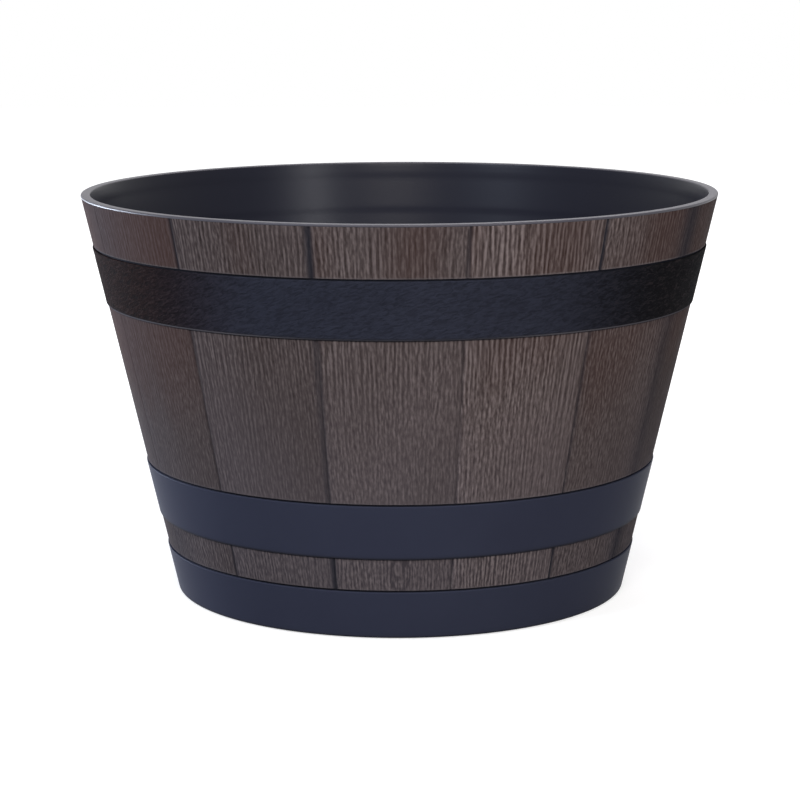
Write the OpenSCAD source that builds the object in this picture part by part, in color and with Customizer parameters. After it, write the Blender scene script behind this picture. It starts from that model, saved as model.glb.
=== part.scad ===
// Half-barrel floor planter in resin: a black tub stands inside a jacket moulded as barrel staves,
// three flat hoops sit in seats round the jacket, and four rubber plugs close the drains.
// Millimetres. +Z is up, the origin is on the ground at the centre and -Y is the front.
// Walls, seats and fits of the leaning sides are measured level, not square to the side.

/* [Overall] */
// Diameter across the sides, carried up to the top of the rim
rim_d = 520.6; // [460:0.2:600]
// Diameter across the sides, carried down to the ground
foot_d = 370; // [320:1:420]
// Height from the ground to the top of the rim
height = 330; // [280:1:400]

/* [Stave jacket] */
// Wall of the jacket
jacket_wall = 3.5; // [3:0.1:6]
// Number of staves
stave_count = 14; // [10:1:20]
// Turn from the front to the first seam on the right, in degrees
first_seam_turn = 10.7; // [0:0.1:25]
// How far a stave's edge strays from even spacing, in degrees
stave_unevenness = 0.75; // [0:0.05:2]
// Width of a seam at the surface
seam_w = 3; // [1.5:0.1:5]
// Depth of a seam
seam_depth = 1.7; // [1.3:0.1:2.4]

/* [Hoops] */
// Width of the top hoop
top_hoop_w = 45.5; // [25:0.5:60]
// Distance from the top of the rim down to the top hoop
top_hoop_drop = 42.5; // [25:0.5:60]
// Width of the middle hoop
middle_hoop_w = 43.5; // [25:0.5:60]
// Bare staves between the middle and the bottom hoop
low_staves_h = 27.5; // [15:0.5:50]
// Width of the bottom hoop
bottom_hoop_w = 38.5; // [25:0.5:55]
// How far a hoop stands out from the staves
hoop_proud = 0.9; // [0.4:0.1:2]
// Depth of the seat that a hoop sits in
hoop_seat_depth = 1.2; // [0.6:0.1:1.8]
// Open groove left in the seat above a hoop
hoop_groove_h = 1.5; // [0.5:0.1:3]
// Rounding of a hoop's outer edges
hoop_edge_r = 0.6; // [0.3:0.1:1]
// Rounding of the bottom hoop's lower edge
foot_edge_r = 2.2; // [1:0.1:3]
// Thickness of the bottom hoop's lip, turned in under the jacket
foot_lip_t = 2; // [1.5:0.1:4]
// Gap under the bottom hoop that lets water out
ground_gap = 1; // [0.5:0.1:2]

/* [Tub] */
// Wall of the tub
tub_wall = 3.8; // [3:0.1:6]
// Height of the black edge that covers the jacket's top
rim_edge_h = 1.8; // [1.5:0.1:4]
// Rounding of the rim's two corners
rim_round = 1.2; // [0.6:0.1:1.5]
// Depth of the thicker band inside the rim
rim_band_h = 11.5; // [6:0.5:25]
// How much thicker the wall is in that band
rim_band_step = 0.3; // [0.2:0.1:1]
// Height of the floor's surface round the drains
floor_z = 18; // [15:0.5:30]
// Thickness of the floor
floor_t = 4.5; // [3.5:0.1:6]
// Rise of the floor towards its centre, so that water runs to the drains
floor_crown = 3; // [1:0.5:6]
// Diameter of the raised middle of the floor
crown_d = 120; // [60:1:150]
// Radius where the floor turns up into the wall
floor_fillet_r = 14; // [5:0.5:25]
// Width of the ring that the tub stands on
foot_ring_w = 6; // [4:0.5:12]

/* [Underside] */
// Number of ribs under the floor
rib_count = 8; // [4:4:16]
// Thickness of a rib
rib_t = 3; // [2:0.1:5]
// Depth of a rib below the floor
rib_h = 5; // [3:0.5:7]
// Diameter of the hub that the ribs meet at
hub_d = 40; // [20:1:60]
// Length of a notch in the foot ring that lets water out
notch_w = 14; // [6:0.5:25]
// Height of a notch
notch_h = 4; // [2:0.5:7]

/* [Drains] */
// Diameter of the circle that the drains lie on
drain_circle_d = 200; // [180:1:260]
// Diameter of a drain hole
drain_hole_d = 16; // [10:0.5:22]
// Wall of the collar under a drain
drain_collar_wall = 3; // [2:0.1:5]
// Length of the collar below the floor
drain_collar_h = 4; // [2:0.5:6]
// Depth of the round seat for the plug's flange
flange_seat_depth = 1.5; // [0.5:0.1:2]
// Width of the plug's flange beyond the hole, all round
flange_overlap = 4.5; // [3:0.5:8]
// Thickness of the plug's flange
flange_t = 2.5; // [2:0.1:4]
// Height of the plug's grip above its flange
grip_h = 8; // [5:0.5:12]
// Thickness of the grip
grip_t = 3.5; // [2.5:0.1:6]
// Length of the grip across the flange
grip_l = 18; // [12:0.5:19]
// How far the plug's tip shows below the collar
tip_show = 1; // [0:0.1:2]
// Bevel round the tip
tip_bevel = 1; // [0.5:0.1:2]
// Diameter of the hollow in the plug's shank
core_d = 7; // [4:0.5:8]
// Depth of the hollow
core_depth = 6; // [3:0.5:7]

/* [Fits] */
// Gap between the tub and the jacket
jacket_fit = 0.2; // [0.1:0.05:0.4]
// Gap between a hoop and its seat
hoop_fit = 0.15; // [0.1:0.05:0.3]
// Gap round a plug's flange in its seat
flange_fit = 0.3; // [0.2:0.05:0.6]
// Gap round a plug's shank in its drain
plug_fit = 0.08; // [0.03:0.01:0.1]

/* [Hidden] */
$fn = 96;
past = 5;
arc_steps = 6;
black = "#242529";
stave_brown = "#4d443f";
hoop_blue_black = "#2e3039";
rubber_black = "#1b1b1d";

lean = atan((rim_d - foot_d) / 2 / height);
rim_edge_z = height - rim_edge_h;
rim_round_r = min(rim_round, rim_edge_h / (1 + sin(lean)));
tub_out = -(jacket_wall + jacket_fit);
tub_in = tub_out - tub_wall;
rim_in = tub_in - rim_band_step;
under_z = floor_z - floor_t;
foot_ring_r = cone_r(0) + tub_out - foot_ring_w;
rib_turn = 360 / rib_count;

bottom_hoop_z = ground_gap;
bottom_hoop_top = bottom_hoop_z + bottom_hoop_w;
jacket_bottom = ground_gap + foot_lip_t;
middle_hoop_z = bottom_hoop_top + low_staves_h;
middle_hoop_top = middle_hoop_z + middle_hoop_w;
top_hoop_top = height - top_hoop_drop;
top_hoop_z = top_hoop_top - top_hoop_w;
hoop_in = hoop_fit - hoop_seat_depth;

flange_d = drain_hole_d + 2 * flange_overlap;
flange_seat_z = floor_z - flange_seat_depth;
collar_end_z = under_z - drain_collar_h;
shank_l = flange_seat_z - collar_end_z + tip_show;
shank_r = drain_hole_d / 2 - plug_fit;
flange_round = flange_t / 3;

// Where each drain lies, as a turn from the right-hand side
front_turn = -90;
right_turn = 0;
back_turn = 90;
left_turn = 180;

// Radius of the staves' outer face at a height
function cone_r(z) = foot_d / 2 + tan(lean) * z;

// A point at a height, some way out from the staves' face
function side(z, out) = [cone_r(z) + out, z];

// Points along an arc about a centre
function arc(centre, r, from, to) = [
  for (i = [0:arc_steps])
    let (a = from + (to - from) * i / arc_steps)
      centre + r * [cos(a), sin(a)]
];

// Rounded corners between a level edge and a face that leans like the staves
function outer_top(z, out, r) = arc(side(z - r, out - r / cos(lean)), r, -lean, 90);
function outer_bottom(z, out, r) = arc(side(z + r, out - r / cos(lean)), r, -90, -lean);
function inner_top(z, out, r) = arc(side(z - r, out + r / cos(lean)), r, 90, 180 - lean);
function inner_floor(z, out, r) = arc(side(z + r, out - r / cos(lean)), r, -lean, -90);

// Turn of each seam from the front, a little uneven like real staves
function seam_turn(i) =
  let (even = first_seam_turn + i * 360 / stave_count)
    even + stave_unevenness * cos(3 * i * 360 / stave_count);

// Ring between two heights that follows the lean of the sides
module cone_ring(low, high, inside, outside) {
  rotate_extrude()
    polygon([side(low, inside), side(low, outside), side(high, outside), side(high, inside)]);
}

// Flat hoop with rounded outer edges
module hoop(low, high) {
  color(hoop_blue_black)
    rotate_extrude()
      polygon(concat(
        [side(low, hoop_in)],
        outer_bottom(low, hoop_proud, hoop_edge_r),
        outer_top(high, hoop_proud, hoop_edge_r),
        [side(high, hoop_in)]
      ));
}

module top_hoop() {
  hoop(top_hoop_z, top_hoop_top);
}

module middle_hoop() {
  hoop(middle_hoop_z, middle_hoop_top);
}

// The bottom hoop turns in under the jacket, so its foot edge is thick enough for a round corner
module bottom_hoop() {
  color(hoop_blue_black)
    rotate_extrude()
      polygon(concat(
        [side(bottom_hoop_z, tub_out + hoop_fit)],
        outer_bottom(bottom_hoop_z, hoop_proud, foot_edge_r),
        outer_top(bottom_hoop_top, hoop_proud, hoop_edge_r),
        [
          side(bottom_hoop_top, hoop_in),
          side(jacket_bottom, hoop_in),
          side(jacket_bottom, tub_out + hoop_fit)
        ]
      ));
}

// Seat for a hoop, with the open groove above it
module hoop_seat(low, high) {
  cone_ring(low, high + hoop_groove_h, -hoop_seat_depth, past);
}

// Narrow V groove that runs the whole height of the jacket
module seam() {
  half_w = seam_w / 2 * (seam_depth + past) / seam_depth;
  translate([0, foot_d / 2, 0])
    rotate([-lean, 0, 0])
      translate([0, 0, -past])
        linear_extrude(height / cos(lean) + 2 * past)
          polygon([[0, -seam_depth], [half_w, past], [-half_w, past]]);
}

module stave_jacket() {
  color(stave_brown)
    difference() {
      cone_ring(jacket_bottom, rim_edge_z, -jacket_wall, 0);
      hoop_seat(jacket_bottom - past, bottom_hoop_top);
      hoop_seat(middle_hoop_z, middle_hoop_top);
      hoop_seat(top_hoop_z, top_hoop_top);
      for (i = [0:stave_count - 1])
        rotate([0, 0, 180 + seam_turn(i)])
          seam();
    }
}

// Half section of the tub: foot ring, wall, rim that covers the jacket, and crowned floor
module tub_section() {
  polygon(concat(
    [
      [foot_ring_r, 0],
      side(0, tub_out),
      side(rim_edge_z, tub_out),
      side(rim_edge_z, 0)
    ],
    outer_top(height, 0, rim_round_r),
    inner_top(height, rim_in, rim_round_r),
    [
      side(height - rim_band_h, rim_in),
      side(height - rim_band_h - rim_band_step, tub_in)
    ],
    inner_floor(floor_z, tub_in, floor_fillet_r),
    [
      [crown_d / 2, floor_z],
      [0, floor_z + floor_crown],
      [0, under_z + floor_crown],
      [crown_d / 2, under_z],
      [foot_ring_r, under_z]
    ]
  ));
}

// Space just under the floor that the ribs and the hub fill, reaching into the floor's thickness
module rib_zone() {
  rotate_extrude()
    polygon([
      [0, under_z - rib_h],
      [foot_ring_r + foot_ring_w / 2, under_z - rib_h],
      [foot_ring_r + foot_ring_w / 2, under_z + floor_t / 2],
      [crown_d / 2, under_z + floor_t / 2],
      [0, under_z + floor_crown + floor_t / 2]
    ]);
}

module base_ribs() {
  intersection() {
    rib_zone();
    union() {
      cylinder(d = hub_d, h = floor_z + floor_crown);
      for (i = [0:rib_count - 1])
        rotate([0, 0, (i + 0.5) * rib_turn])
          translate([0, -rib_t / 2, 0])
            cube([cone_r(0), rib_t, floor_z + floor_crown]);
    }
  }
}

// Puts its children at one drain, at a height
module at_drain(turn, z) {
  rotate([0, 0, turn])
    translate([drain_circle_d / 2, 0, z])
      children();
}

module at_each_drain(z) {
  for (turn = [front_turn, right_turn, back_turn, left_turn])
    at_drain(turn, z)
      children();
}

module inner_tub() {
  color(black)
    difference() {
      union() {
        rotate_extrude()
          tub_section();
        base_ribs();
        at_each_drain(collar_end_z)
          cylinder(d = drain_hole_d + 2 * drain_collar_wall, h = drain_collar_h + floor_t / 2);
      }
      at_each_drain(flange_seat_z)
        cylinder(d = flange_d + 2 * flange_fit, h = flange_seat_depth + past);
      at_each_drain(collar_end_z - past)
        cylinder(d = drain_hole_d, h = floor_z - collar_end_z + 2 * past);
      for (i = [0:rib_count - 1])
        rotate([0, 0, (i + 0.5) * rib_turn])
          translate([foot_ring_r - past, -notch_w / 2, -past])
            cube([foot_ring_w + 2 * past, notch_w, notch_h + past]);
    }
}

// Rubber plug: a flange that seals on its seat, a hollow shank and an upright grip to pull
module drain_plug(turn) {
  color(rubber_black)
    at_drain(turn, flange_seat_z)
      difference() {
        union() {
          rotate_extrude()
            polygon(concat(
              [
                [0, -shank_l],
                [shank_r - tip_bevel, -shank_l],
                [shank_r, tip_bevel - shank_l],
                [shank_r, 0],
                [flange_d / 2, 0]
              ],
              arc([flange_d / 2 - flange_round, flange_t - flange_round], flange_round, 0, 90),
              [[0, flange_t]]
            ));
          intersection() {
            translate([-grip_t / 2, -grip_l / 2, flange_t / 2])
              cube([grip_t, grip_l, flange_t / 2 + grip_h]);
            translate([0, 0, flange_t + grip_h - grip_l / 2])
              rotate([0, 90, 0])
                cylinder(d = grip_l, h = grip_t, center = true);
          }
        }
        translate([0, 0, -shank_l - past])
          cylinder(d = core_d, h = core_depth + past);
      }
}

module drain_plug_front() {
  drain_plug(front_turn);
}

module drain_plug_right() {
  drain_plug(right_turn);
}

module drain_plug_back() {
  drain_plug(back_turn);
}

module drain_plug_left() {
  drain_plug(left_turn);
}

inner_tub();
stave_jacket();
top_hoop();
middle_hoop();
bottom_hoop();
drain_plug_front();
drain_plug_right();
drain_plug_back();
drain_plug_left();
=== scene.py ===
"""Half-barrel planter in resin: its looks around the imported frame, in metres, in the solids' own frame."""
import math

import bmesh
import bpy
import numpy as np
from mathutils import Euler, Matrix, Vector


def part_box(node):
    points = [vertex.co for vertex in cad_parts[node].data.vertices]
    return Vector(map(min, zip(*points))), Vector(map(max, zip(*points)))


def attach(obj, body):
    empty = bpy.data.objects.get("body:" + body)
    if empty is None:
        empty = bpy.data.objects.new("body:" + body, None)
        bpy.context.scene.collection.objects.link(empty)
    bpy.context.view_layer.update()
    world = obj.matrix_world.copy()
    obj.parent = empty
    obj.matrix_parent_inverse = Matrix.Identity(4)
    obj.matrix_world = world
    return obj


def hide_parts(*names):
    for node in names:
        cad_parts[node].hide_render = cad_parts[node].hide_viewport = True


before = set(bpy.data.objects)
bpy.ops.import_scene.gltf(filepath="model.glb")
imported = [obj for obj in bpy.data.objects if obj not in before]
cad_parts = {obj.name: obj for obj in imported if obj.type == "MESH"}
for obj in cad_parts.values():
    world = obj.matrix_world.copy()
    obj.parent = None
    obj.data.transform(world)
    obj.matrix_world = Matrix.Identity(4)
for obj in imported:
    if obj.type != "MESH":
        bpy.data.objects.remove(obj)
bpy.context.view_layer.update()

MM = 0.001
SHARP_DEG = 35
MERGE_DIST = 1e-7
CUT_PAST = 5 * MM

# Leaning sides: the staves' face runs straight from the ground up to the rim
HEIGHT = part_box("inner_tub")[1].z
FOOT_R = 185 * MM
TOP_R = 260.3 * MM
SLOPE = (TOP_R - FOOT_R) / HEIGHT
LEAN = math.atan(SLOPE)
LEAN_DEG = math.degrees(LEAN)

# Stave jacket, with its turns in degrees from the front to the right
JACKET_WALL = 3.5 * MM
STAVES = 14
FIRST_SEAM_TURN = 10.7
STAVE_UNEVENNESS = 0.75
UNEVEN_WAVES = 3
SEAM_W = 3 * MM
SEAM_DEPTH = 1.7 * MM
SEAT_DEPTH = 1.2 * MM
SEAT_GROOVE = 1.5 * MM
EASED_EDGE = 0.25 * MM
PALE_LINE_H = 1.3 * MM
UNDER_HOOP_H = 1 * MM
FACE_COLUMNS = 137
ROW_STEP = 2 * MM
MEAN_R = 230 * MM
JACKET_SHARP_DEG = 60

# Wood grain: its relief, how it changes with height, and the steps of the noise that it is drawn from
GRAIN_SEED = 41
GRAIN_DEPTH = 0.4 * MM
GRAIN_WAVE = 3.7 * MM
GRAIN_WANDER = 0.45 * MM
STAVE_SHIFT = 97 * MM
DASH_W = 1.7 * MM
DASH_H = 4.5 * MM
HAIR_W = 1.0625 * MM
HAIR_H = 10 * MM
STAVE_NOISE_STEP = 5
LIVELY_Z = 205 * MM
LIVELY_REACH = 90 * MM
MIDDLE_Z = 150 * MM
MIDDLE_REACH = 200 * MM
LOW_Z = 90 * MM
TOP_Z = 265 * MM
END_REACH = 40 * MM
FIELD_STEP = 0.4 * MM
FIELD_ROWS = 1024
FIELD_COLUMNS = 4096
SLOW_STEP = 4 * MM
COOLEST = 1
WARMEST = -0.1

# A lighter, cooler line along the low edge of each bare band, the stain along the seams, and painted shade
# under the hoops, as shares
PALE_LINE_RIDGE = 0.92
PALE_LINE_SHARE = 0.8
PALE_LINE_LIGHTER = 0.12
PALE_LINE_COOLER = 0.4
STAIN_FADE = 0.45
UNDER_HOOP_SHADE = 0.7

# Hoops
HOOP_PROUD = 0.9 * MM
HOOP_FIT = 0.15 * MM
HOOP_EDGE_R = 0.6 * MM
FOOT_EDGE_R = 2.2 * MM
FOOT_LIP_T = 2 * MM
HOOP_ROWS = 28
HOOP_SEGMENTS = 720
LOWER_SHADE_H = 2.4 * MM
DENT_SEED = 7
DENT_DEPTH = 0.07 * MM
DENT_W = 2.2 * MM
DENT_H = 1.6 * MM
DENT_FADE = 3 * MM
DENT_STEP = 1 * MM
DENT_ROWS = 256
DENT_COLUMNS = 2048

# Places across the top hoop, from its middle: where it turns to the painted shade of its sides, where the
# painted shade at its left gives way to that at its right, and where the painted highlight along its lower
# edge grows
SIDE_FROM = 100 * MM
SIDE_TO = 210 * MM
LEFT_TO_RIGHT = 100 * MM
LIP_FROM = 60 * MM
LIP_TO = 120 * MM

# Tub
JACKET_FIT = 0.2 * MM
TUB_WALL = 3.8 * MM
RIM_EDGE_H = 1.8 * MM
RIM_ROUND = 1.2 * MM
RIM_BAND_H = 11.5 * MM
RIM_BAND_STEP = 0.3 * MM
RIM_BAND_REACH = 4 * MM
WALL_HOLLOW = 0.4 * MM
HOLLOW_LOW_REACH = 7 * MM
HOLLOW_HIGH_REACH = 5 * MM
WALL_TOP_GAP = 4 * MM
WALL_LOW_GAP = 2 * MM
WALL_ROWS = 110
TUB_SEGMENTS = 384
FLOOR_Z = 18 * MM
FLOOR_T = 4.5 * MM
FLOOR_CROWN = 3 * MM
CROWN_R = 60 * MM
CROWN_POINTS = 9
FLOOR_FILLET_R = 14 * MM
FOOT_RING_W = 6 * MM
NOTCH_W = 14 * MM
NOTCH_H = 4 * MM
RIBS = 8
RIB_TURNS = [(i + 0.5) * 360 / RIBS for i in range(RIBS)]
RIB_T = 3 * MM
RIB_H = 5 * MM
RIB_OVERLAP = 2 * MM
RIB_SUNK = 1 * MM
HUB_R = 20 * MM
GATE_R = 4 * MM
GATE_DEPTH = 1 * MM
UNDER_EDGE = 0.5 * MM
TUB_OUT = -(JACKET_WALL + JACKET_FIT)
TUB_IN = TUB_OUT - TUB_WALL
RIM_IN = TUB_IN - RIM_BAND_STEP
FOOT_RING_R = FOOT_R + TUB_OUT - FOOT_RING_W
UNDER_Z = FLOOR_Z - FLOOR_T
RIB_Z = UNDER_Z - RIB_H

# Drains and their plugs, whose turns are in degrees from the right to the back
DRAIN_SEGMENTS = 64
PLUG_SEGMENTS = 96
DRAIN_TURNS = {"front": -90, "right": 0, "back": 90, "left": 180}
DRAIN_CIRCLE_R = 100 * MM
DRAIN_R = 8 * MM
COLLAR_WALL = 3 * MM
COLLAR_H = 4 * MM
FLANGE_SEAT_R = 12.8 * MM
FLANGE_SEAT_Z = FLOOR_Z - 1.5 * MM
SEAT_BEVEL = 0.6 * MM
SEAT_BEVEL_LOW = 0.4 * MM
SEAT_BEVEL_HIGH = 0.2 * MM
FLANGE_R = 12.5 * MM
FLANGE_TOP_Z = FLANGE_SEAT_Z + 2.5 * MM
FLANGE_ROUND = 0.8 * MM
FLANGE_RING_R = 10.6 * MM
FLANGE_RING_W = 0.5 * MM
FLANGE_RING_DEPTH = 0.25 * MM
SHANK_R = 7.92 * MM
TIP_Z = UNDER_Z - COLLAR_H - 1 * MM
TIP_BEVEL = 1 * MM
CORE_R = 3.5 * MM
CORE_DEPTH = 6 * MM
GRIP_R = 9 * MM
GRIP_T = 3.5 * MM
GRIP_WEB_T = 2.2 * MM
GRIP_CENTRE_Z = FLANGE_TOP_Z - 1 * MM
GRIP_SECTIONS = 29
GRIP_BEAD_STEPS = 14

# The camera as it was fitted to the photo, which is square: in metres, degrees and millimetres of film
CAMERA_BACK = 2.061
CAMERA_HEIGHT = 0.5334
CAMERA_PITCH = 10.43
CAMERA_ROLL = -0.18
SENSOR_W = 36
LENS = 113.05
CAMERA_REACH = 50


# Profiles


def side_r(z):
    """Radius of the staves' face at a height."""
    return FOOT_R + SLOPE * z


def side(z, out):
    """A profile point at a height, some way out from the staves' face."""
    return (side_r(z) + out, z)


def arc(centre, r, start, end, steps=8):
    """Profile points along an arc, with its angles in degrees."""
    turns = np.radians(np.linspace(start, end, steps + 1))
    return [(centre[0] + r * math.cos(t), centre[1] + r * math.sin(t)) for t in turns]


def outer_top(z, out, r):
    """The rounded top edge of an outward face."""
    return arc(side(z - r, out - r / math.cos(LEAN)), r, -LEAN_DEG, 90)


def outer_bottom(z, out, r):
    """The rounded bottom edge of an outward face."""
    return arc(side(z + r, out - r / math.cos(LEAN)), r, -90, -LEAN_DEG)


def inner_top(z, out, r):
    """The rounded top edge of an inward face."""
    return arc(side(z - r, out + r / math.cos(LEAN)), r, 90, 180 - LEAN_DEG)


def inner_floor(z, out, r):
    """The hollow round between an inward face and the floor."""
    return arc(side(z + r, out - r / math.cos(LEAN)), r, -LEAN_DEG, -90)


def soft_step(z, at, reach):
    """0 below a height and 1 above it, with a smooth rise between them."""
    t = np.clip((z - at) / reach + 0.5, 0, 1)
    return t * t * (3 - 2 * t)


# Meshes


def smooth_mesh(mesh, sharp_deg):
    """Smooth faces, split at the edges that are sharper than an angle."""
    mesh.shade_smooth()
    mesh.set_sharp_from_angle(angle=math.radians(sharp_deg))


def add_mesh(name, verts, faces):
    """A new object with its doubled points merged, and smooth faces between its sharp edges."""
    mesh = bpy.data.meshes.new(name)
    mesh.from_pydata(verts, [], faces)
    bm = bmesh.new()
    bm.from_mesh(mesh)
    bmesh.ops.remove_doubles(bm, verts=bm.verts, dist=MERGE_DIST)
    bmesh.ops.recalc_face_normals(bm, faces=bm.faces)
    bm.to_mesh(mesh)
    bm.free()
    smooth_mesh(mesh, SHARP_DEG)
    piece = bpy.data.objects.new(name, mesh)
    bpy.context.scene.collection.objects.link(piece)
    return piece


def joined(parts):
    """Points and faces of several (points, faces) pairs as one list of each."""
    verts, faces = [], []
    for part_verts, part_faces in parts:
        start = len(verts)
        verts += [tuple(v) for v in part_verts]
        faces += [tuple(start + i for i in face) for face in part_faces]
    return verts, faces


def grid_faces(rows, columns, close_rows=True):
    """Quads of a grid whose columns close round, and whose rows do too unless that is turned off."""
    r, c = np.meshgrid(np.arange(rows if close_rows else rows - 1), np.arange(columns), indexing="ij")
    r2, c2 = (r + 1) % rows, (c + 1) % columns
    quads = np.stack([r * columns + c, r * columns + c2, r2 * columns + c2, r2 * columns + c], -1)
    return quads.reshape(-1, 4).tolist()


def turned_points(radii, heights, turns):
    """Points of a grid from radii and heights by row and turns from the front by column."""
    return np.stack(
        [radii * np.sin(turns), -radii * np.cos(turns), np.broadcast_to(heights, radii.shape)], -1
    )


def turned(profile, segments):
    """Points and faces of a closed profile of (radius, height) points turned round the axis."""
    turns = np.linspace(0, 2 * math.pi, segments, endpoint=False)[None, :]
    r, z = [np.array(column)[:, None] for column in zip(*profile)]
    points = turned_points(r * np.ones_like(turns), z, turns)
    return points.reshape(-1, 3), grid_faces(len(profile), segments)


def spun(points, turn_deg, out=0.0):
    """The points, moved out along X and then turned round the axis."""
    t = math.radians(turn_deg)
    x, y, z = np.array(points, dtype=float).T
    x = x + out
    return np.stack([x * math.cos(t) - y * math.sin(t), x * math.sin(t) + y * math.cos(t), z], -1)


def bar(stations, low_z, half_w, turn_deg):
    """A bar along a radius, from (radius, top height) stations."""
    points = [(r, y, z) for r, top in stations for y, z in
              ((-half_w, low_z), (half_w, low_z), (half_w, top), (-half_w, top))]
    last = 4 * (len(stations) - 1)
    ends = [[3, 2, 1, 0], [last, last + 1, last + 2, last + 3]]
    return spun(points, turn_deg), grid_faces(len(stations), 4, close_rows=False) + ends


def carve(piece, cutter):
    """Cuts one solid out of a piece for good."""
    step = piece.modifiers.new("cut", "BOOLEAN")
    step.operation, step.solver, step.object = "DIFFERENCE", "EXACT", cutter
    bpy.context.view_layer.update()
    done = bpy.data.meshes.new_from_object(piece.evaluated_get(bpy.context.evaluated_depsgraph_get()))
    piece.modifiers.clear()
    piece.data = done
    bpy.data.objects.remove(cutter)


def dress(piece, node, body, slot, *materials):
    """Gives a piece its materials, and puts it in its node's place on a body. Its slot is not used."""
    for material in materials:
        piece.data.materials.append(material)
    if node:
        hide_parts(node)
    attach(piece, body)


# Fields of noise that the grain and the hammered surface are drawn from


def shaped_noise(rng, gain):
    """Noise whose spectrum has the given gain. Its deviation is 1."""
    field = np.fft.ifft2(np.fft.fft2(rng.standard_normal(gain.shape)) * gain).real
    return field / field.std()


def line_noise(rng, wave, spread, run):
    """Noise of one wavelength across, with some spread, whose features run on upwards."""
    fx = np.abs(np.fft.fftfreq(FIELD_COLUMNS, FIELD_STEP))[None, :]
    fz = np.fft.fftfreq(FIELD_ROWS, FIELD_STEP)[:, None]
    off_wave = (fx * wave - 1) / spread
    return shaped_noise(rng, np.exp(-(off_wave**2 + (2 * math.pi * fz * run) ** 2) / 2))


def soft_noise(rng, across, along, step=SLOW_STEP, rows=128, columns=512):
    """Slow noise with a given reach across and along."""
    fx = np.fft.fftfreq(columns, step)[None, :]
    fz = np.fft.fftfreq(rows, step)[:, None]
    return shaped_noise(rng, np.exp(-2 * (math.pi * fx * across) ** 2 - 2 * (math.pi * fz * along) ** 2))


def sample(field, x, z, step):
    """The field's value at x across and z along, smoothly between its samples."""
    rows, columns = field.shape
    u, v = x / step, z / step
    c, r = np.floor(u).astype(int), np.floor(v).astype(int)
    fu, fv = u - c, v - r
    c0, c1, r0, r1 = c % columns, (c + 1) % columns, r % rows, (r + 1) % rows
    low = field[r0, c0] * (1 - fu) + field[r0, c1] * fu
    high = field[r1, c0] * (1 - fu) + field[r1, c1] * fu
    return low * (1 - fv) + high * fv


# Stave jacket

# One line for each stave, from the seam right of the front and on to the right: contrast of its grain, how
# far the grain at its left edge leans to the left as it rises, share of short dashes, lightness and warmth.
# The low lightness of staves 2 and 10 to 12, towards the sides seen from the front, is partly painted shade
STAVE_LOOKS = [
    (1.04, 0.030, 0.30, 1.07, 0.90),
    (0.68, 0.010, 0.80, 0.90, 1.00),
    (0.60, -0.010, 0.70, 0.70, 0.90),
    (0.85, 0.015, 0.38, 0.92, 0.65),
    (0.75, -0.010, 0.50, 0.84, 0.75),
    (0.95, 0.010, 0.35, 1.00, 0.70),
    (0.75, 0.015, 0.65, 0.88, 0.85),
    (0.90, -0.010, 0.38, 0.96, 0.60),
    (0.80, 0.010, 0.48, 0.82, 0.65),
    (0.75, -0.015, 0.55, 0.94, 0.70),
    (0.40, 0.010, 0.70, 0.61, 1.12),
    (0.64, 0.000, 0.70, 0.64, 1.06),
    (0.78, -0.015, 0.55, 0.74, 0.81),
    (0.80, 0.010, 0.60, 0.87, 0.84),
]

# One entry for each seam, in the same order, and three at the back twice over: reach of the dark stain left
# and right of it in millimetres, how dark the stain is, and how deep the groove is as a share of a full one.
# The wide stains at seams 2 and 11, towards the sides seen from the front, are painted shade
SEAM_LOOKS = [
    (1.6, 1.4, 0.50, 0.55),
    (1.5, 1.6, 1.00, 0.85),
    (14, 14, 0.70, 0.60),
    *[(2.2, 2.0, 0.55, 0.70), (4.8, 2.0, 0.50, 0.50), (1.6, 2.2, 0.60, 0.70)] * 2,
    (2.0, 1.4, 0.50, 0.60),
    (1.6, 2.0, 0.50, 0.60),
    (30, 45, 0.32, 0.40),
    (1.6, 1.5, 0.75, 0.65),
    (3.2, 2.4, 0.88, 0.70),
]

# The knot low on the front, in millimetres from the middle of the front and from the ground: each oval is the
# place of its middle and its half width and half height, and each line also has its darkness
KNOT = (-1.9, 59.5, 3.4, 7.5)
KNOT_NOTCH = (3.3, 65, 1.9, 5)
KNOT_LINES = [((-1.9, 59.5, 4.1, 8.4), 0.5), ((-0.4, 55, 7.4, 13.5), 0.55)]
KNOT_LINE_W = 0.9


def seam_turns():
    """Turn of each seam from the front, in radians."""
    seams = np.arange(STAVES)
    uneven = STAVE_UNEVENNESS * np.cos(np.radians(UNEVEN_WAVES * seams * 360 / STAVES))
    return np.radians(FIRST_SEAM_TURN + seams * 360 / STAVES + uneven)


def jacket_columns():
    """Turn and stave of every column, and its distances from the seams at its left and right.

    Three columns shape each seam, and the others lie on the faces of the staves.
    """
    seams = seam_turns()
    widths = np.diff(np.append(seams, seams[0] + 2 * math.pi))
    half_seam = SEAM_W / 2 / MEAN_R
    turns, stave, left = [], [], []
    for k in range(STAVES):
        face = np.linspace(half_seam, widths[k] - half_seam, FACE_COLUMNS)
        local = np.concatenate([[0, half_seam / 2], face, [widths[k] - half_seam / 2]])
        turns.append(seams[k] + local)
        stave.append(np.full(local.shape, k))
        left.append(local * MEAN_R)
    turns, stave, left = [np.concatenate(parts) for parts in (turns, stave, left)]
    return turns, stave, left, widths[stave] * MEAN_R - left


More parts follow.
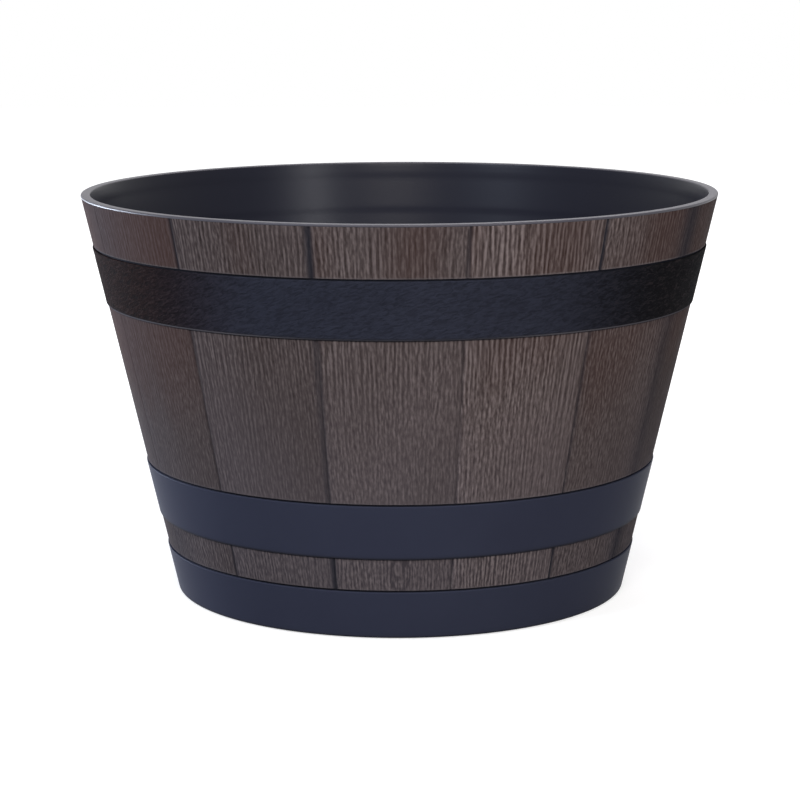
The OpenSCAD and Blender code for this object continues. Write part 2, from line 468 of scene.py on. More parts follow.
def jacket_rows():
    """Height, distance in, bareness, pale line and shade of every row.

    Three bare bands of staves lie between and above the seats behind the hoops.
    """
    low_seat_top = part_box("bottom_hoop")[1].z + SEAT_GROOVE
    mid_low, mid_high = [corner.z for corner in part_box("middle_hoop")]
    top_low, top_high = [corner.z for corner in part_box("top_hoop")]
    jacket_low, jacket_high = [corner.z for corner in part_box("stave_jacket")]
    rows = [(jacket_low, SEAT_DEPTH, 0, 0, 0), (low_seat_top, SEAT_DEPTH, 0, 0, 0)]
    for low, high, next_seat_top in (
        (low_seat_top, mid_low, mid_high + SEAT_GROOVE),
        (mid_high + SEAT_GROOVE, top_low, top_high + SEAT_GROOVE),
        (top_high + SEAT_GROOVE, jacket_high, None),
    ):
        face_low, face_high = low + EASED_EDGE, high - EASED_EDGE
        count = round((face_high - face_low) / ROW_STEP)
        rows += [(low, EASED_EDGE, 1, 1, 0), (face_low, 0, 1, 1, 0)]
        rows += [(z, 0, 1, 0, 0) for z in np.linspace(face_low + PALE_LINE_H, face_high - UNDER_HOOP_H, count)]
        under = 1 if next_seat_top else 0
        rows += [(face_high, 0, 1, 0, under), (high, EASED_EDGE, 1, 0, under)]
        if next_seat_top:
            rows += [(high, SEAT_DEPTH, 0, 0, 0), (next_seat_top, SEAT_DEPTH, 0, 0, 0)]
    return [np.array(column)[:, None] for column in zip(*rows)]


def grain_fields(rng):
    """Noise for the grain's long and short lines and its pores, then slow noise for what varies gently."""
    lines = line_noise(rng, wave=GRAIN_WAVE, spread=0.32, run=16 * MM)
    lines = lines + 0.75 * line_noise(rng, wave=GRAIN_WAVE * 0.8, spread=0.6, run=6 * MM)
    short = line_noise(rng, wave=GRAIN_WAVE * 0.85, spread=0.5, run=1.8 * MM)
    pores = line_noise(rng, wave=GRAIN_WAVE * 0.7, spread=0.5, run=9 * MM)
    drift = soft_noise(rng, across=16 * MM, along=34 * MM)
    blotch = soft_noise(rng, across=16 * MM, along=30 * MM)
    cloud = soft_noise(rng, across=12 * MM, along=44 * MM)
    return lines, short, pores, drift, blotch, cloud


def grain_on(stave, left, right, heights):
    """At every row and column: ridge height, lightness, coolness, share of dashes, and place in the grain."""
    lines, short, pores, drift, blotch, cloud = grain_fields(np.random.default_rng(GRAIN_SEED))
    contrast, slant, dashed, light, warm = np.array(STAVE_LOOKS)[stave].T[:, None, :]

    # Each stave takes its grain from another part of the noise
    shift = stave[None, :] * STAVE_SHIFT
    x, z = left[None, :], heights + shift * 1.7
    patch = sample(blotch, x + shift * 2, z, SLOW_STEP)
    veil = sample(cloud, x + shift * 5, z + 0.3, SLOW_STEP)
    fan = slant * heights * right / (left + right)
    across = x + fan + GRAIN_WANDER * sample(drift, x + shift * 3, z, SLOW_STEP) + shift

    # The grain is livelier near the rim, stronger again near the foot, and weaker to the right of each stave
    lively = soft_step(heights, LIVELY_Z, LIVELY_REACH)
    low = 1 - soft_step(heights, MIDDLE_Z, MIDDLE_REACH)
    dashed = np.clip(dashed - 0.18 * lively + 0.14 * patch, 0.05, 0.95)
    contrast = contrast * (1.07 - 0.22 * left / (left + right))
    contrast = contrast * (0.5 + 0.37 * lively + 0.48 * (1 - soft_step(heights, LOW_Z, END_REACH)))

    long_share, short_share = np.sqrt(1 - dashed), np.sqrt(dashed)
    both = long_share * sample(lines, across, z, FIELD_STEP)
    both = both + short_share * sample(short, across, z, FIELD_STEP)
    ridge = 0.5 + 0.5 * np.tanh(0.85 * both)
    ridge = ridge - 0.3 * np.clip(sample(pores, across, z, FIELD_STEP) - 1.5, 0, 1.2)
    ridge = np.clip(0.5 + (ridge - 0.5) * contrast, 0, 1)
    # Painted light: a little lighter towards the foot. It is also cooler towards the foot
    tone = light * (1 + 0.04 * low + 0.05 * veil + 0.03 * patch)
    cool = np.clip(1 - warm + 0.55 * low + 0.05 * veil, WARMEST, COOLEST)
    place = np.stack(np.broadcast_arrays(across, z, stave[None, :]), -1)
    return ridge, tone, cool, 0.85 * contrast * short_share * (1 - 0.3 * lively), place


def oval_distance(x, z, oval):
    """Distance from an oval's middle, as a share of its radius that way."""
    middle_x, middle_z, half_w, half_h = oval
    return np.hypot((x - middle_x) / half_w, (z - middle_z) / half_h)


def knot(ridge, dashes, turns, heights):
    """A knot low on the front: a light whorl, dark lines round and under it, and a notch at its right."""
    x = ((turns[None, :] + math.pi) % (2 * math.pi) - math.pi) * side_r(heights) / MM
    z = heights / MM
    d = oval_distance(x, z, KNOT)
    share = np.clip(5 * (1.15 - d), 0, 1)
    whorl = 0.3 * ridge + 0.3 * np.clip(1.6 - d, 0, 1) + 0.4 * np.exp(-(((d - 0.7) / 0.25) ** 2))
    ridge = ridge * (1 - share) + whorl * share
    for oval, dark in KNOT_LINES:
        off_line = (oval_distance(x, z, oval) - 1) * oval[2] / KNOT_LINE_W
        ridge = ridge - dark * np.exp(-(off_line**2)) * np.clip(1.3 - x / 9, 0.3, 1)
    notch = np.clip(3 * (oval_distance(x, z, KNOT_NOTCH) - 0.7), 0, 1)
    return np.clip(ridge, 0, 1) * notch, dashes * notch * (1 - 0.5 * share)


def seam_marks(stave, left, right):
    """Depth of the seam grooves and darkness of the stain beside them, at every column; at two wide seams it
    is painted shade.
    """
    reach_left, reach_right, dark, deep = np.array(SEAM_LOOKS).T
    groove, seam_stain_and_shade = 0, 0
    for seam, distance, reach in ((stave, left, reach_right), ((stave + 1) % STAVES, right, reach_left)):
        groove = np.maximum(groove, deep[seam] * np.clip(1 - distance / (SEAM_W / 2), 0, 1))
        seam_stain_and_shade = np.maximum(seam_stain_and_shade, dark[seam] * np.exp(-((distance / (reach[seam] * MM)) ** 2)))
    return groove[None, :] * SEAM_DEPTH, seam_stain_and_shade[None, :]


def stave_jacket(material):
    """The jacket: grain in relief on the bare bands, V seams, and a seat behind each hoop, darkened as
    painted shade.
    """
    heights, inset, bare, pale_line, under = jacket_rows()
    turns, stave, left, right = jacket_columns()
    ridge, tone, cool, dashes, place = grain_on(stave, left, right, heights)
    ridge, dashes = knot(ridge, dashes, turns, heights)
    ridge = ridge + pale_line * (PALE_LINE_RIDGE - ridge) * PALE_LINE_SHARE
    tone = tone * (1 + PALE_LINE_LIGHTER * pale_line)
    cool = np.clip(cool + PALE_LINE_COOLER * pale_line, WARMEST, COOLEST)
    groove, seam_stain_and_shade = seam_marks(stave, left, right)
    radii = side_r(heights) - inset - bare * np.maximum(GRAIN_DEPTH * (1 - ridge), groove)
    inner_z = np.array([heights.max(), heights.min()])[:, None]
    inner_r = (side_r(inner_z) - JACKET_WALL) * np.ones((1, len(turns)))
    points = np.concatenate(
        [turned_points(radii, heights, turns[None, :]), turned_points(inner_r, inner_z, turns[None, :])]
    )
    middle = soft_step(heights, LOW_Z, END_REACH) - soft_step(heights, TOP_Z, END_REACH)
    # Painted shade: the seats, seen as the groove over each hoop, and a line under each hoop take the stain's
    # dark colour
    seat_and_under_hoop_shade = np.maximum(1 - bare, UNDER_HOOP_SHADE * under)
    dark = np.maximum(seam_stain_and_shade * (1 - STAIN_FADE * middle), seat_and_under_hoop_shade)
    paint = np.stack([ridge, tone, cool, dark], -1)
    columns = len(turns)
    faces = np.array(grid_faces(len(points), columns))[:, ::-1].tolist()
    mesh = bpy.data.meshes.new("stave_jacket_grained")
    mesh.from_pydata(points.reshape(-1, 3).tolist(), [], faces)
    for name, kind, key, values in (
        ("wood", "FLOAT_COLOR", "color", paint),
        ("grain_place", "FLOAT_VECTOR", "vector", place),
        ("dashes", "FLOAT", "value", dashes[..., None]),
    ):
        inside = np.zeros((2, columns, values.shape[-1]))
        layer = mesh.attributes.new(name, kind, "POINT")
        layer.data.foreach_set(key, np.concatenate([values, inside]).astype(np.float32).ravel())
    smooth_mesh(mesh, JACKET_SHARP_DEG)
    piece = bpy.data.objects.new("stave_jacket_grained", mesh)
    bpy.context.scene.collection.objects.link(piece)
    dress(piece, "stave_jacket", "planter", "stave_brown", material)


# Hoops


def hoop_band(node, material, slot, hammered=False):
    """A flat hoop with rounded edges.

    The bottom one turns in under the jacket, and a hammered one has a softly uneven face.
    """
    low, high = [corner.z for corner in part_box(node)]
    behind = HOOP_FIT - SEAT_DEPTH
    if node == "bottom_hoop":
        face_low = low + FOOT_EDGE_R
        lip_z = low + FOOT_LIP_T
        start = [side(low, TUB_OUT + HOOP_FIT)] + outer_bottom(low, HOOP_PROUD, FOOT_EDGE_R)
        end = [side(high, behind), side(lip_z, behind), side(lip_z, TUB_OUT + HOOP_FIT)]
    else:
        face_low = low + HOOP_EDGE_R
        start = [side(low, behind)] + outer_bottom(low, HOOP_PROUD, HOOP_EDGE_R)
        end = [side(high, behind)]
    face = [side(z, HOOP_PROUD) for z in np.linspace(face_low, high - HOOP_EDGE_R, HOOP_ROWS)[1:-1]]
    profile = start + face + outer_top(high, HOOP_PROUD, HOOP_EDGE_R) + end
    piece = add_mesh(node + "_band", *turned(profile, HOOP_SEGMENTS))
    if hammered:
        dent_face(piece, low, high)
    z = np.array([v.co.z for v in piece.data.vertices])
    shade = piece.data.attributes.new("shade", "FLOAT", "POINT")
    shade.data.foreach_set("value", np.clip(1 - (z - low) / LOWER_SHADE_H, 0, 1).astype(np.float32))
    dress(piece, node, "planter", slot, material)


def dent_face(piece, low, high):
    """Presses shallow hammer marks into a hoop's face, fading out at its edges."""
    rng = np.random.default_rng(DENT_SEED)
    marks = soft_noise(rng, DENT_W, DENT_H, DENT_STEP, DENT_ROWS, DENT_COLUMNS)
    points = np.zeros(len(piece.data.vertices) * 3)
    piece.data.vertices.foreach_get("co", points)
    points = points.reshape(-1, 3)
    x, y, z = points.T
    r = np.hypot(x, y)
    turn = np.arctan2(x, -y) % (2 * math.pi)
    on_face = np.clip((r - side_r(z) - HOOP_PROUD * 0.9) / (HOOP_PROUD * 0.1), 0, 1)
    fade = np.clip(np.minimum(z - low, high - z) / DENT_FADE, 0, 1) * on_face
    along = turn * DENT_COLUMNS * DENT_STEP / (2 * math.pi)
    dent = np.clip(sample(marks, along, z, DENT_STEP) + 0.6, 0, 2.5)
    points[:, :2] *= (1 - DENT_DEPTH * dent * fade / r)[:, None]
    piece.data.vertices.foreach_set("co", points.ravel())
    piece.data.update()


# Tub and plugs


def wall_in(z):
    """How far in the tub's inner face lies: a band at the mouth, and shallow hollows behind two hoops."""
    out = TUB_IN - RIM_BAND_STEP * soft_step(z, HEIGHT - RIM_BAND_H, RIM_BAND_REACH)
    for node in ("middle_hoop", "top_hoop"):
        low, high = [corner.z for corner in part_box(node)]
        out += WALL_HOLLOW * (soft_step(z, low, HOLLOW_LOW_REACH) - soft_step(z, high, HOLLOW_HIGH_REACH))
    return out


def tub_profile():
    """Half section of the tub: foot ring, wall, rim that covers the jacket, and crowned floor."""
    edge_z = HEIGHT - RIM_EDGE_H
    wall_low = FLOOR_Z + FLOOR_FILLET_R + WALL_LOW_GAP
    wall = [side(z, wall_in(z)) for z in np.linspace(HEIGHT - WALL_TOP_GAP, wall_low, WALL_ROWS)]
    quarter = np.linspace(0, math.pi / 2, CROWN_POINTS)
    crown = [(CROWN_R * math.cos(t), FLOOR_Z + FLOOR_CROWN * math.sin(t) ** 2) for t in quarter]
    return [
        (FOOT_RING_R, 0),
        side(0, TUB_OUT),
        side(edge_z, TUB_OUT),
        side(edge_z, 0),
        *outer_top(HEIGHT, 0, RIM_ROUND),
        *inner_top(HEIGHT, RIM_IN, RIM_ROUND),
        *wall,
        *inner_floor(FLOOR_Z, TUB_IN, FLOOR_FILLET_R),
        *crown,
        (0, UNDER_Z + FLOOR_CROWN),
        (CROWN_R, UNDER_Z),
        (FOOT_RING_R, UNDER_Z),
    ]


def tub(resin, rim_resin_painted_reflection):
    """The tub, with a seated hole for each plug, notches in its foot ring, and a rim in its own finish,
    lighter as a painted reflection.
    """
    piece = add_mesh("tub_smooth", *turned(tub_profile(), TUB_SEGMENTS))
    drain = [
        (0, -MM),
        (DRAIN_R, -MM),
        (DRAIN_R, FLANGE_SEAT_Z),
        (FLANGE_SEAT_R, FLANGE_SEAT_Z),
        (FLANGE_SEAT_R, FLOOR_Z - SEAT_BEVEL_LOW),
        (FLANGE_SEAT_R + SEAT_BEVEL, FLOOR_Z + SEAT_BEVEL_HIGH),
        (0, FLOOR_Z + SEAT_BEVEL_HIGH),
    ]
    points, faces = turned(drain, DRAIN_SEGMENTS)
    cuts = [(spun(points, turn, DRAIN_CIRCLE_R), faces) for turn in DRAIN_TURNS.values()]
    ends = [(FOOT_RING_R - CUT_PAST, NOTCH_H), (FOOT_R + CUT_PAST, NOTCH_H)]
    cuts += [bar(ends, -CUT_PAST, NOTCH_W / 2, turn) for turn in RIB_TURNS]
    carve(piece, add_mesh("cuts", *joined(cuts)))
    smooth_mesh(piece.data, SHARP_DEG)
    dress(piece, "inner_tub", "planter", "tub_black", resin, rim_resin_painted_reflection)
    for face in piece.data.polygons:
        face.material_index = int(face.center.z > HEIGHT - RIM_EDGE_H)


def underside(resin):
    """Ribs, hub and drain collars under the floor, with softened edges."""
    top_z = UNDER_Z + RIB_SUNK
    rib_start, rib_end = HUB_R - RIB_OVERLAP, FOOT_RING_R + RIB_OVERLAP
    crown_z = top_z + FLOOR_CROWN * (1 - rib_start / CROWN_R)
    stations = [(rib_start, crown_z), (CROWN_R, top_z), (rib_end, top_z)]
    parts = [bar(stations, RIB_Z, RIB_T / 2, turn) for turn in RIB_TURNS]
    hub = [(0, RIB_Z + GATE_DEPTH), (GATE_R - UNDER_EDGE, RIB_Z + GATE_DEPTH), (GATE_R, RIB_Z)]
    hub += [(HUB_R - UNDER_EDGE, RIB_Z), (HUB_R, RIB_Z + UNDER_EDGE), (HUB_R, crown_z), (0, crown_z)]
    parts.append(turned(hub, PLUG_SEGMENTS))
    collar_z, collar_r = UNDER_Z - COLLAR_H, DRAIN_R + COLLAR_WALL
    collar = [
        (DRAIN_R, collar_z + UNDER_EDGE),
        (DRAIN_R + UNDER_EDGE, collar_z),
        (collar_r - UNDER_EDGE, collar_z),
        (collar_r, collar_z + UNDER_EDGE),
        (collar_r, top_z),
        (DRAIN_R, top_z),
    ]
    points, faces = turned(collar, DRAIN_SEGMENTS)
    parts += [(spun(points, turn, DRAIN_CIRCLE_R), faces) for turn in DRAIN_TURNS.values()]
    piece = add_mesh("tub_underside", *joined(parts))
    dress(piece, None, "planter", "tub_black", resin)


def grip_shape():
    """The plug's grip: a thin upright half disc with a round bead along its edge."""
    bead, web = GRIP_T / 2, GRIP_WEB_T / 2
    start = -math.degrees(math.acos(web / bead))
    section = [(web, 0), *arc((0, GRIP_R - bead), bead, start, 180 - start, GRIP_BEAD_STEPS), (-web, 0)]
    turns = np.linspace(0, math.pi, GRIP_SECTIONS)
    points = [(x, r * math.cos(t), GRIP_CENTRE_Z + r * math.sin(t)) for t in turns for x, r in section]
    count = len(section)
    last = (GRIP_SECTIONS - 1) * count
    ends = [list(range(count)), list(range(last, last + count))[::-1]]
    return points, grid_faces(GRIP_SECTIONS, count, close_rows=False) + ends


def drain_plug(place, rubber):
    """A rubber plug: a flange with a ring pressed in its top, a hollow shank, and a grip to pull."""
    profile = [
        (CORE_R, TIP_Z),
        (SHANK_R - TIP_BEVEL, TIP_Z),
        (SHANK_R, TIP_Z + TIP_BEVEL),
        (SHANK_R, FLANGE_SEAT_Z),
        (FLANGE_R, FLANGE_SEAT_Z),
        *arc((FLANGE_R - FLANGE_ROUND, FLANGE_TOP_Z - FLANGE_ROUND), FLANGE_ROUND, 0, 90),
        (FLANGE_RING_R + FLANGE_RING_W, FLANGE_TOP_Z),
        (FLANGE_RING_R, FLANGE_TOP_Z - FLANGE_RING_DEPTH),
        (FLANGE_RING_R - FLANGE_RING_W, FLANGE_TOP_Z),
        (0, FLANGE_TOP_Z),
        (0, TIP_Z + CORE_DEPTH),
        (CORE_R, TIP_Z + CORE_DEPTH),
    ]
    points, faces = joined([turned(profile, PLUG_SEGMENTS), grip_shape()])
    name = "drain_plug_" + place
    piece = add_mesh(name + "_rubber", spun(points, DRAIN_TURNS[place], DRAIN_CIRCLE_R).tolist(), faces)
    dress(piece, name, "plug_" + place, "plug_rubber", rubber)


# Materials

# Colours, written as they look on screen, from 0 to 255
WOOD_GROOVE = (46, 37, 34)
WOOD_MIDDLE = (79, 69, 67)
WOOD_RIDGE = (113, 102, 100)
WOOD_WARM = (66, 46, 43)
WOOD_COOL = (74, 72, 80)
# Dark colour of the seams' stain and of the painted shade by the hoops and at two wide seams
WOOD_STAIN_AND_SHADE = (33, 34, 41)
SMOOTH_HOOP = (44, 46, 60)
SMOOTH_HOOP_LIGHTER = (48, 51, 65)
HAMMERED_HOOP = (39, 41, 51)
HAMMERED_HOOP_LIGHTER = (47, 49, 60)
# The top hoop's painted shade at its sides and in its creases, and its painted highlights on crests and lower
# edge
HAMMERED_LEFT_SHADE = (30, 18, 16)
HAMMERED_RIGHT_SHADE = (20, 20, 22)
HAMMERED_CREASE_SHADE = (15, 14, 16)
HAMMERED_RAISED_HIGHLIGHT = (57, 49, 50)
HAMMERED_LIP_HIGHLIGHT = (72, 70, 74)
HOOP_EDGE_SHADE = (31, 30, 32)
TUB_BLACK = (20, 21, 32)
# The rim is the same black resin; its lighter colour is a painted reflection
RIM_PAINTED_REFLECTION = (51, 49, 57)
RESIN_CLOUD = 6
RUBBER = (20, 20, 21)
RUBBER_BLOOM = (34, 34, 35)

# The wrinkles of the hammered hoop: how they lie, in radians, and how many there are in a metre each way
WRINKLE_TILT = (0.2, 0.3, 0)
WRINKLE_DENSITY = (150, 150, 560)

# How strongly the short dashes and the fine hairs show in the wood
DASH_STRENGTH = 3.2
HAIR_STRENGTH = 0.8


def new_material(name):
    """A material with an emptied tree, and its shader linked to the output."""
    material = bpy.data.materials.new(name)
    material.use_nodes = True
    tree = material.node_tree
    tree.nodes.clear()
    shader = tree.nodes.new("ShaderNodeBsdfPrincipled")
    output = tree.nodes.new("ShaderNodeOutputMaterial")
    tree.links.new(shader.outputs["BSDF"], output.inputs["Surface"])
    return material, tree, shader


def fill_input(tree, socket, value):
    """Links an input to a socket, or sets it to a plain value."""
    if isinstance(value, bpy.types.NodeSocket):
        tree.links.new(value, socket)
    else:
        socket.default_value = value


def add_node(tree, kind, inputs=None, **settings):
    """A node with its settings, and its inputs set to values or linked to sockets."""
    node = tree.nodes.new(kind)
    for key, value in settings.items():
        setattr(node, key, value)
    for key, value in (inputs or {}).items():
        fill_input(tree, node.inputs[key], value)
    return node


def srgb(colour):
    """The linear form of a colour that is written as it looks on screen, from 0 to 255."""
    return tuple(((c / 255 + 0.055) / 1.055) ** 2.4 if c > 10 else c / 255 / 12.92 for c in colour) + (1,)


def mix_colour(tree, factor, a, b, blend="MIX"):
    """From colour a at 0 to colour b at 1."""
    node = add_node(tree, "ShaderNodeMix", {0: factor, 6: a, 7: b}, data_type="RGBA", blend_type=blend)
    return node.outputs[2]


def calc(tree, operation, a, b, clamp=False):
    """Arithmetic on two values."""
    return add_node(tree, "ShaderNodeMath", {0: a, 1: b}, operation=operation, use_clamp=clamp).outputs[0]


def remap(tree, value, low, high, start=0.0, end=1.0, how="LINEAR"):
    """The value's range from start to end, turned into low to high."""
    inputs = {"Value": value, "From Min": start, "From Max": end, "To Min": low, "To Max": high}
    return add_node(tree, "ShaderNodeMapRange", inputs, interpolation_type=how).outputs[0]


def noise(tree, vector, density, detail=2, roughness=0.5, distortion=0.0):
    """Noise from 0 to 1, with so many features in each unit of a vector."""
    mapping = add_node(tree, "ShaderNodeMapping", {"Vector": vector, "Scale": density})
    inputs = {"Vector": mapping.outputs[0], "Scale": 1.0, "Detail": detail, "Roughness": roughness}
    return add_node(tree, "ShaderNodeTexNoise", {**inputs, "Distortion": distortion}).outputs["Fac"]


def object_place(tree):
    """The place in the solids' frame, in metres."""
    return add_node(tree, "ShaderNodeTexCoord").outputs["Object"]


def add_bump(tree, shader, height, depth, strength):
    """Gives a shader fine relief without changing the mesh."""
    bump = add_node(tree, "ShaderNodeBump", {"Height": height, "Strength": strength, "Distance": depth})
    tree.links.new(bump.outputs[0], shader.inputs["Normal"])


def set_gloss(tree, shader, gloss, roughness):
    """Gives a shader its even gloss and its roughness, which can vary."""
    shader.inputs["Specular IOR Level"].default_value = gloss
    fill_input(tree, shader.inputs["Roughness"], roughness)


def wood_material():
    """Grey-brown moulded wood: light ridges over dark grooves, short dashes, stain along the seams, and
    painted shade.
    """
    material, tree, shader = new_material("moulded_wood")
    paint = add_node(tree, "ShaderNodeAttribute", attribute_name="wood")
    ridge, tone, cool = add_node(tree, "ShaderNodeSeparateColor", {"Color": paint.outputs["Color"]}).outputs
    place = add_node(tree, "ShaderNodeAttribute", attribute_name="grain_place").outputs["Vector"]
    share = add_node(tree, "ShaderNodeAttribute", attribute_name="dashes").outputs["Fac"]
    dash = noise(tree, place, (1 / DASH_W, 1 / DASH_H, STAVE_NOISE_STEP), roughness=0.45)
    hair = noise(tree, place, (1 / HAIR_W, 1 / HAIR_H, STAVE_NOISE_STEP))
    dash_height = calc(tree, "MULTIPLY", calc(tree, "SUBTRACT", dash, 0.5), DASH_STRENGTH)
    dashes = calc(tree, "MULTIPLY", dash_height, share)
    hairs = calc(tree, "MULTIPLY", calc(tree, "SUBTRACT", hair, 0.5), HAIR_STRENGTH)
    height = calc(tree, "ADD", calc(tree, "ADD", ridge, dashes), hairs, clamp=True)
    ramp = add_node(tree, "ShaderNodeValToRGB", {"Fac": height})
    ramp.color_ramp.elements[0].color = srgb(WOOD_GROOVE)
    ramp.color_ramp.elements[1].color = srgb(WOOD_RIDGE)
    ramp.color_ramp.elements.new(0.5).color = srgb(WOOD_MIDDLE)
    toned = mix_colour(tree, 1.0, ramp.outputs["Color"], tone, "MULTIPLY")
    warmth = remap(tree, cool, 0.54, 0, start=WARMEST, end=0.18)
    warmed = mix_colour(tree, warmth, toned, srgb(WOOD_WARM))
    cooled = mix_colour(tree, calc(tree, "MULTIPLY", cool, 0.5), warmed, srgb(WOOD_COOL))
    stained_and_shaded = mix_colour(tree, paint.outputs["Alpha"], cooled, srgb(WOOD_STAIN_AND_SHADE))
    tree.links.new(stained_and_shaded, shader.inputs["Base Color"])
    set_gloss(tree, shader, gloss=0.03, roughness=remap(tree, height, 0.9, 0.74))
    add_bump(tree, shader, height, depth=0.25 * MM, strength=0.5)
    return material


def shaded_edge(tree, colour):
    """The colour, darkened along a hoop's lower edge."""
    shade = add_node(tree, "ShaderNodeAttribute", attribute_name="shade").outputs["Fac"]
    return mix_colour(tree, calc(tree, "MULTIPLY", shade, 0.8), colour, srgb(HOOP_EDGE_SHADE))


def smooth_hoop_material():
    """Smooth satin blue-black resin."""
    material, tree, shader = new_material("smooth_hoop_resin")
    cloud = noise(tree, object_place(tree), density=(14, 14, 14))
    blue = mix_colour(tree, cloud, srgb(SMOOTH_HOOP), srgb(SMOOTH_HOOP_LIGHTER))
    tree.links.new(shaded_edge(tree, blue), shader.inputs["Base Color"])
    set_gloss(tree, shader, gloss=0.014, roughness=remap(tree, cloud, 0.4, 0.46))
    fine = noise(tree, object_place(tree), density=(900, 900, 500))
    add_bump(tree, shader, fine, depth=0.08 * MM, strength=0.3)
    return material


def hammered_hoop_material():
    """Satin blue-black resin with fine leathery wrinkles; painted shade makes it darker at the sides and
    browner at the left.
    """
    material, tree, shader = new_material("hammered_hoop_resin")
    cloud = noise(tree, object_place(tree), density=(11, 11, 11))
    across = add_node(tree, "ShaderNodeSeparateXYZ", {0: object_place(tree)}).outputs["X"]
    away = calc(tree, "ABSOLUTE", across, 0.0)
    to_side = remap(tree, away, 0, 1, start=SIDE_FROM, end=SIDE_TO, how="SMOOTHSTEP")
    tilt = add_node(tree, "ShaderNodeMapping", {"Vector": object_place(tree), "Rotation": WRINKLE_TILT})
    wrinkle = noise(tree, tilt.outputs[0], WRINKLE_DENSITY, detail=3, roughness=0.6, distortion=0.9)
    blue = mix_colour(tree, cloud, srgb(HAMMERED_HOOP), srgb(HAMMERED_HOOP_LIGHTER))
    # Painted shade: darker towards the sides, browner at the left and darker still at the right
    to_right = remap(tree, across, 0, 1, start=-LEFT_TO_RIGHT, end=LEFT_TO_RIGHT)
    side_shade = mix_colour(tree, to_right, srgb(HAMMERED_LEFT_SHADE), srgb(HAMMERED_RIGHT_SHADE))
    side_shaded = mix_colour(tree, to_side, blue, side_shade)
    # Painted shade in the wrinkles' creases and painted highlights on their crests, both stronger towards the
    # sides
    hollow = remap(tree, wrinkle, 0.9, 0, start=0.36, end=0.58)
    crease_shade = calc(tree, "MULTIPLY", hollow, remap(tree, to_side, 0.45, 1))
    crease_shaded = mix_colour(tree, crease_shade, side_shaded, srgb(HAMMERED_CREASE_SHADE))
    raised_highlight = calc(tree, "MULTIPLY", remap(tree, wrinkle, 0, 0.4, start=0.52, end=0.7), to_side)
    highlighted = mix_colour(tree, raised_highlight, crease_shaded, srgb(HAMMERED_RAISED_HIGHLIGHT))
    shade = add_node(tree, "ShaderNodeAttribute", attribute_name="shade").outputs["Fac"]
    # Painted highlight: a pale line along the lower edge, growing towards the sides
    at_lip = remap(tree, shade, 0, 1, start=0.5, end=0.6)
    lip_highlight = calc(tree, "MULTIPLY", at_lip, remap(tree, away, 0.2, 1, start=LIP_FROM, end=LIP_TO))
    lip_highlighted = mix_colour(tree, lip_highlight, shaded_edge(tree, highlighted), srgb(HAMMERED_LIP_HIGHLIGHT))
    tree.links.new(lip_highlighted, shader.inputs["Base Color"])
    set_gloss(tree, shader, gloss=0.008, roughness=remap(tree, cloud, 0.72, 0.8))
    add_bump(tree, shader, wrinkle, depth=1.1 * MM, strength=0.9)
    return material


def tub_material(name, base, gloss, roughness):
    """Smooth black resin with a fine even grain."""
    material, tree, shader = new_material(name)
    cloud = noise(tree, object_place(tree), density=(9, 9, 9), detail=3)
    lighter = [c + RESIN_CLOUD for c in base]
    tree.links.new(mix_colour(tree, cloud, srgb(base), srgb(lighter)), shader.inputs["Base Color"])
    set_gloss(tree, shader, gloss, remap(tree, cloud, roughness, roughness + 0.1))
    fine = noise(tree, object_place(tree), density=(1200, 1200, 1200))
    add_bump(tree, shader, fine, depth=0.06 * MM, strength=0.25)
    return material


def rubber_material():
    """Matt black rubber with a dusty bloom."""
    material, tree, shader = new_material("matt_rubber")
    cloud = noise(tree, object_place(tree), density=(160, 160, 160), detail=3)
    tree.links.new(mix_colour(tree, cloud, srgb(RUBBER), srgb(RUBBER_BLOOM)), shader.inputs["Base Color"])
    set_gloss(tree, shader, gloss=0.25, roughness=remap(tree, cloud, 0.6, 0.75))
    fine = noise(tree, object_place(tree), density=(1500, 1500, 1500))
    add_bump(tree, shader, fine, depth=0.05 * MM, strength=0.3)
    return material


# Stage

# Each lamp: place, side lengths, watts and colour. All aim at one point inside the planter
LAMPS = {
    "key": ((0.1, -2.7, 2.3), (1.3, 1.2), 66, (1, 0.95, 0.9)),
    "strip": ((1.85, -2.4, 1.45), (0.5, 1.3), 31, (0.97, 0.97, 1)),
    "cool_left": ((-2.0, -1.9, 2.3), (0.8, 1.0), 62, (0.76, 0.86, 1)),
    "cool_edge": ((-1.9, 1.1, 0.2), (0.9, 0.34), 54, (0.78, 0.85, 1)),
    "top": ((-0.3, 0.3, 2.6), (1.6, 1.6), 13, (1, 1, 1)),
    "back": ((0.5, 2.2, 2.7), (1.6, 1.2), 27, (0.95, 0.92, 1)),
}
LAMP_AIM = Vector((0, 0, 0.15))
FILL_COLOUR = (0.93, 0.95, 1, 1)
FILL_STRENGTH = 0.15
FLOOR_HALF = 6
FLOOR_GREY = (0.5, 0.5, 0.5, 1)
FLOOR_GLOW = 0.68
FLOOR_GLOW_FROM = 0.5
FLOOR_GLOW_TO = 1.5


def camera():
    """The scene's camera, which looks level along Y before it is pitched down and rolled."""
    data = bpy.data.cameras.new("camera")
    data.lens = LENS
    data.sensor_width = SENSOR_W
    data.clip_end = CAMERA_REACH
    piece = bpy.data.objects.new("camera", data)
    piece.location = (0, -CAMERA_BACK, CAMERA_HEIGHT)
    aim = Euler((math.radians(90 - CAMERA_PITCH), 0, 0)).to_matrix()
    piece.rotation_euler = (aim @ Matrix.Rotation(math.radians(CAMERA_ROLL), 3, "Z")).to_euler()
    bpy.context.scene.collection.objects.link(piece)
    bpy.context.scene.camera = piece


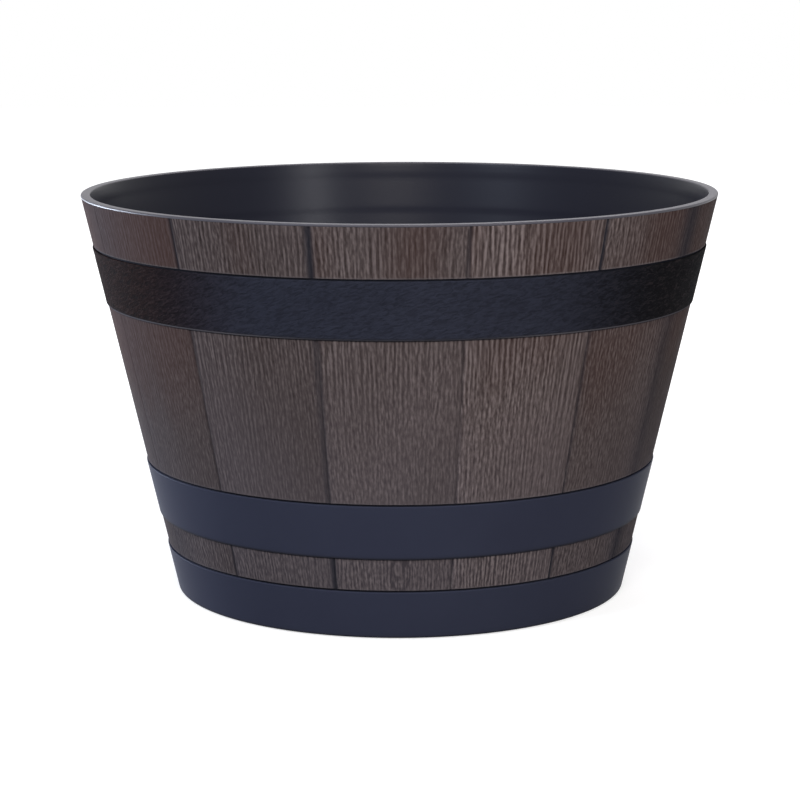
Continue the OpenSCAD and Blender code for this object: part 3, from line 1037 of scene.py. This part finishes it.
def area_light(name, place, size, watts, colour):
    """A rectangular lamp that points into the planter."""
    data = bpy.data.lights.new(name, "AREA")
    data.shape = "RECTANGLE"
    data.size, data.size_y = size
    data.energy = watts
    data.color = colour
    lamp = bpy.data.objects.new(name, data)
    lamp.location = place
    lamp.rotation_euler = (LAMP_AIM - Vector(place)).to_track_quat("-Z", "Y").to_euler()
    bpy.context.scene.collection.objects.link(lamp)


def seen_as_backdrop(tree, plain, bright):
    """One shader for plain light, and another for the camera, for gloss and through glass."""
    path = add_node(tree, "ShaderNodeLightPath")
    seen = calc(tree, "MAXIMUM", path.outputs["Is Camera Ray"], path.outputs["Is Glossy Ray"])
    seen = calc(tree, "MAXIMUM", seen, path.outputs["Is Transmission Ray"])
    inputs = {0: seen, 1: plain.outputs[0], 2: bright.outputs[0]}
    return add_node(tree, "ShaderNodeMixShader", inputs).outputs[0]


def white_world():
    """A world that shows white and gives a weak even light."""
    world = bpy.data.worlds.new("studio")
    bpy.context.scene.world = world
    world.use_nodes = True
    tree = world.node_tree
    tree.nodes.clear()
    fill = add_node(tree, "ShaderNodeBackground", {"Color": FILL_COLOUR, "Strength": FILL_STRENGTH})
    white = add_node(tree, "ShaderNodeBackground", {"Color": (1, 1, 1, 1), "Strength": 1.0})
    add_node(tree, "ShaderNodeOutputWorld", {"Surface": seen_as_backdrop(tree, fill, white)})


def pale_floor():
    """A floor that keeps the planter's shadow near it, and shows white further out."""
    corners = [(x * FLOOR_HALF, y * FLOOR_HALF, 0) for x, y in ((-1, -1), (1, -1), (1, 1), (-1, 1))]
    mesh = bpy.data.meshes.new("floor")
    mesh.from_pydata(corners, [], [(0, 1, 2, 3)])
    floor = bpy.data.objects.new("floor", mesh)
    bpy.context.scene.collection.objects.link(floor)
    material = bpy.data.materials.new("pale_floor")
    material.use_nodes = True
    tree = material.node_tree
    tree.nodes.clear()
    matt = add_node(tree, "ShaderNodeBsdfDiffuse", {"Color": FLOOR_GREY})
    far = add_node(tree, "ShaderNodeVectorMath", {0: object_place(tree)}, operation="LENGTH").outputs["Value"]
    strength = remap(tree, far, FLOOR_GLOW, 1, start=FLOOR_GLOW_FROM, end=FLOOR_GLOW_TO)
    glow = add_node(tree, "ShaderNodeEmission", {"Strength": strength})
    both = add_node(tree, "ShaderNodeAddShader", {0: matt.outputs[0], 1: glow.outputs[0]})
    add_node(tree, "ShaderNodeOutputMaterial", {"Surface": seen_as_backdrop(tree, matt, both)})
    mesh.materials.append(material)


def main():
    """Builds every piece of the planter, and the stage that shows it."""
    camera()
    resin = tub_material("smooth_black_resin", TUB_BLACK, gloss=0.12, roughness=0.26)
    tub(resin, tub_material("rim_resin_painted_reflection", RIM_PAINTED_REFLECTION, gloss=0.3, roughness=0.38))
    underside(resin)
    stave_jacket(wood_material())
    hoop_band("top_hoop", hammered_hoop_material(), "hoop_hammered", hammered=True)
    smooth_hoop = smooth_hoop_material()
    hoop_band("middle_hoop", smooth_hoop, "hoop_smooth")
    hoop_band("bottom_hoop", smooth_hoop, "hoop_smooth")
    rubber = rubber_material()
    for place in DRAIN_TURNS:
        drain_plug(place, rubber)
    white_world()
    pale_floor()
    for name, lamp in LAMPS.items():
        area_light(name, *lamp)
    bpy.context.scene.view_settings.view_transform = "Standard"


main()
bpy.context.view_layer.update()
